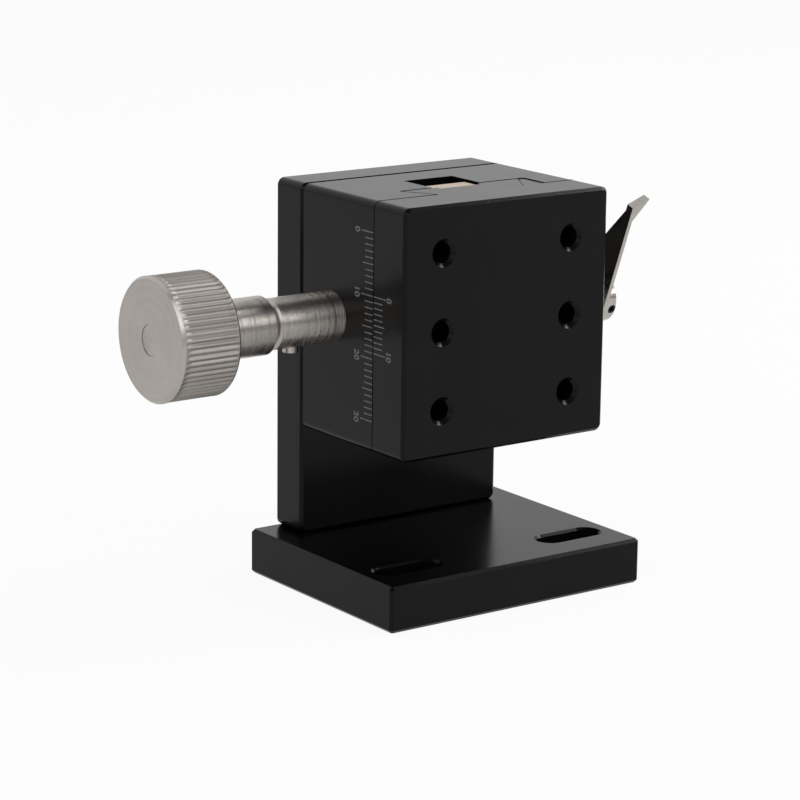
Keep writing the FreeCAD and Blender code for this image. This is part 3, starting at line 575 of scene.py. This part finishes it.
def numeral(text, look, middle, z, faceX):
    # A number as flat faces, turned to read downward along the scale and centred on its tick.
    letters = bpy.data.curves.new("number" + text, "FONT")
    letters.body = text
    letters.align_x, letters.align_y = "CENTER", "CENTER"
    letters.resolution_u, letters.offset = look["curveSteps"], look["bold"]
    shape = bpy.data.objects.new("number" + text, letters)
    mesh = bpy.data.meshes.new_from_object(shape)
    flat = np.empty(len(mesh.vertices) * 3)
    mesh.vertices.foreach_get("co", flat)
    flat = flat.reshape(-1, 3)
    low, high = flat.min(axis=0), flat.max(axis=0)
    flat = (flat - (low + high) / 2) * look["numberHeight"] / (high[1] - low[1])
    faces = [list(polygon.vertices) for polygon in mesh.polygons]
    bpy.data.objects.remove(shape)
    bpy.data.meshes.remove(mesh)
    # The text's own right runs down the face and its up runs toward the front.
    x = np.full(len(flat), faceX - look["lift"])
    return np.stack([x, middle - flat[:, 1], z - flat[:, 0]], axis=1), faces


def scalePiece(name, look, seam, away, node, body, material):
    # Ticks and numbers in one piece, on the left face of a node. away is 1 for marks behind the seam and
    # -1 for marks in front of it.
    faceX = boxOf(node)[0][0]
    centreZ = middleOf(node)[2]
    points, faces = tickMarks(look, seam, away, faceX, centreZ)
    count, points = len(points), [points]
    middle = seam + away * (look["lengths"][2] + look["numberGap"] + look["numberHeight"] / 2)
    for index, text in look["numbers"].items():
        z = centreZ + look["zeroAbove"] - index * look["pitch"]
        spots, shapes = numeral(text, look, middle, z, faceX)
        faces += [[corner + count for corner in shape] for shape in shapes]
        points.append(spots)
        count += len(spots)
    return meshPiece(name, np.concatenate(points), faces, material, body)


bodySeam = boxOf("slide_body")[0][1]
markPaint = laserMark("laserMark", markFinish)
scalePiece("body_scale", ruler, bodySeam, 1, "slide_body", "frame", markPaint)
scalePiece("table_vernier", vernier, bodySeam - vernier["seamGap"], -1, "stage_table", "table", markPaint)
print("stage: scale and vernier")

# Camera and light

# Angles in degrees, lens and film in millimetres, place in millimetres, clipping in metres.
view = {
    "azimuth": -35.876, "elevation": 13.63, "roll": 0.676, "lens": 132.60, "film": 36.0,
    "place": (-278.446, -372.085, 142.579), "near": 0.01, "far": 20.0,
}


def placeCamera(look):
    # The camera looks back along its own Z, which azimuth and elevation point, and leans by the roll.
    turn, tilt, roll = (math.radians(look[key]) for key in ("azimuth", "elevation", "roll"))
    back = Vector((math.sin(turn) * math.cos(tilt), -math.cos(turn) * math.cos(tilt), math.sin(tilt)))
    right = Vector((math.cos(turn), math.sin(turn), 0))
    up = back.cross(right)
    across = right * math.cos(roll) + up * math.sin(roll)
    upward = up * math.cos(roll) - right * math.sin(roll)
    lens = bpy.data.cameras.new("camera")
    lens.lens, lens.sensor_width = look["lens"], look["film"]
    lens.clip_start, lens.clip_end = look["near"], look["far"]
    camera = bpy.data.objects.new("camera", lens)
    camera.matrix_world = Matrix((across, upward, back)).transposed().to_4x4()
    camera.location = Vector(look["place"]) * mm
    bpy.context.scene.collection.objects.link(camera)
    bpy.context.scene.camera = camera


placeCamera(view)
bpy.context.scene.view_settings.view_transform = "Standard"

studio = {
    # The floor: how far it reaches in metres, its tone, and the share of white glow in it that the camera
    # and gloss see.
    "floorReach": 3.0, "floorTone": 0.8, "floorSeen": 0.92, "floorMirrored": 0.62,
    # The sky's strength on matt surfaces. What gloss sees of it runs from the front horizon (0) over the
    # ceiling (0.5) to the back horizon (1).
    "sky": 0.6,
    "tent": [
        (0.0, 0.50), (0.03, 0.45), (0.10, 0.75), (0.17, 1.0), (0.23, 0.75), (0.31, 0.30), (0.40, 0.09),
        (0.50, 0.09), (0.56, 0.45), (0.62, 1.0), (0.75, 1.0), (0.91, 1.0), (0.955, 0.82), (1.0, 0.6),
    ],
    # Soft boxes: where they stand, what they aim at, their size in metres and their power in watts.
    "lamps": {
        "frontBox": ((0.5, -0.75, 0.55), (0, 0, 0.03), 0.5, 2.0),
        "rightBox": ((0.65, -0.09, 0.58), (0, 0, 0.04), 0.28, 2.4),
        "leftBox": ((-0.66, -0.24, 0.47), (0, 0, 0.04), 0.5, 1.3),
    },
}


def seenBy(start):
    # 1 for what the camera sees, and 1 for what a gloss or a clear body sees. Both 0 for matt surfaces.
    rays = start.node("LightPath")
    camera, glossy, clear = rays.others("Is Camera Ray", "Is Glossy Ray", "Is Transmission Ray")
    return camera, (1 - camera) * start.maths("MAXIMUM", glossy, clear)


def paleFloor(look):
    # A matt floor that keeps the object's shadow, mixed with a white glow for camera and gloss.
    reach, tone = look["floorReach"], look["floorTone"]
    mesh = bpy.data.meshes.new("floor")
    mesh.from_pydata([(-reach, -reach, 0), (reach, -reach, 0), (reach, reach, 0), (-reach, reach, 0)],
                     [], [(0, 1, 2, 3)])
    floor = bpy.data.objects.new("floor", mesh)
    bpy.context.scene.collection.objects.link(floor)
    material = bpy.data.materials.new("paleFloor")
    output, start = shaderTree(material)
    camera, mirror = seenBy(start)
    matt = start.node("BsdfDiffuse", None, {"Color": (tone, tone, tone, 1)})
    glow = start.node("Emission", None, {"Color": (1, 1, 1, 1), "Strength": 1.0})
    share = camera * look["floorSeen"] + mirror * look["floorMirrored"]
    finishWith(output, start.node("MixShader", None, {"Fac": share, 1: matt, 2: glow}))
    mesh.materials.append(material)


def studioWorld(look):
    # White for the camera, the tent of light strips for gloss, an even sky for matt surfaces.
    world = bpy.data.worlds.new("studio")
    bpy.context.scene.world = world
    output, start = shaderTree(world)
    camera, mirror = seenBy(start)
    _, y, z = apart(start, start.node("TexCoord"))
    over = start.maths("ARCTAN2", z, y * -1) / math.pi
    tent = start.node("ValToRGB", {"stops": [(place, (tone, tone, tone)) for place, tone in look["tent"]]},
                      {"Fac": over}, out="Color")
    strength = camera + mirror * tent + (1 - camera) * (1 - mirror) * look["sky"]
    finishWith(output, start.node("Background", None, {"Color": (1, 1, 1, 1), "Strength": strength}))


def softBox(name, spot, aim, size, power):
    lamp = bpy.data.lights.new(name, "AREA")
    lamp.size, lamp.energy = size, power
    obj = bpy.data.objects.new(name, lamp)
    obj.location = spot
    obj.rotation_euler = (Vector(aim) - Vector(spot)).to_track_quat("-Z", "Y").to_euler()
    bpy.context.scene.collection.objects.link(obj)


paleFloor(studio)
studioWorld(studio)
for name, settings in studio["lamps"].items():
    softBox(name, *settings)
print("stage: camera and light")
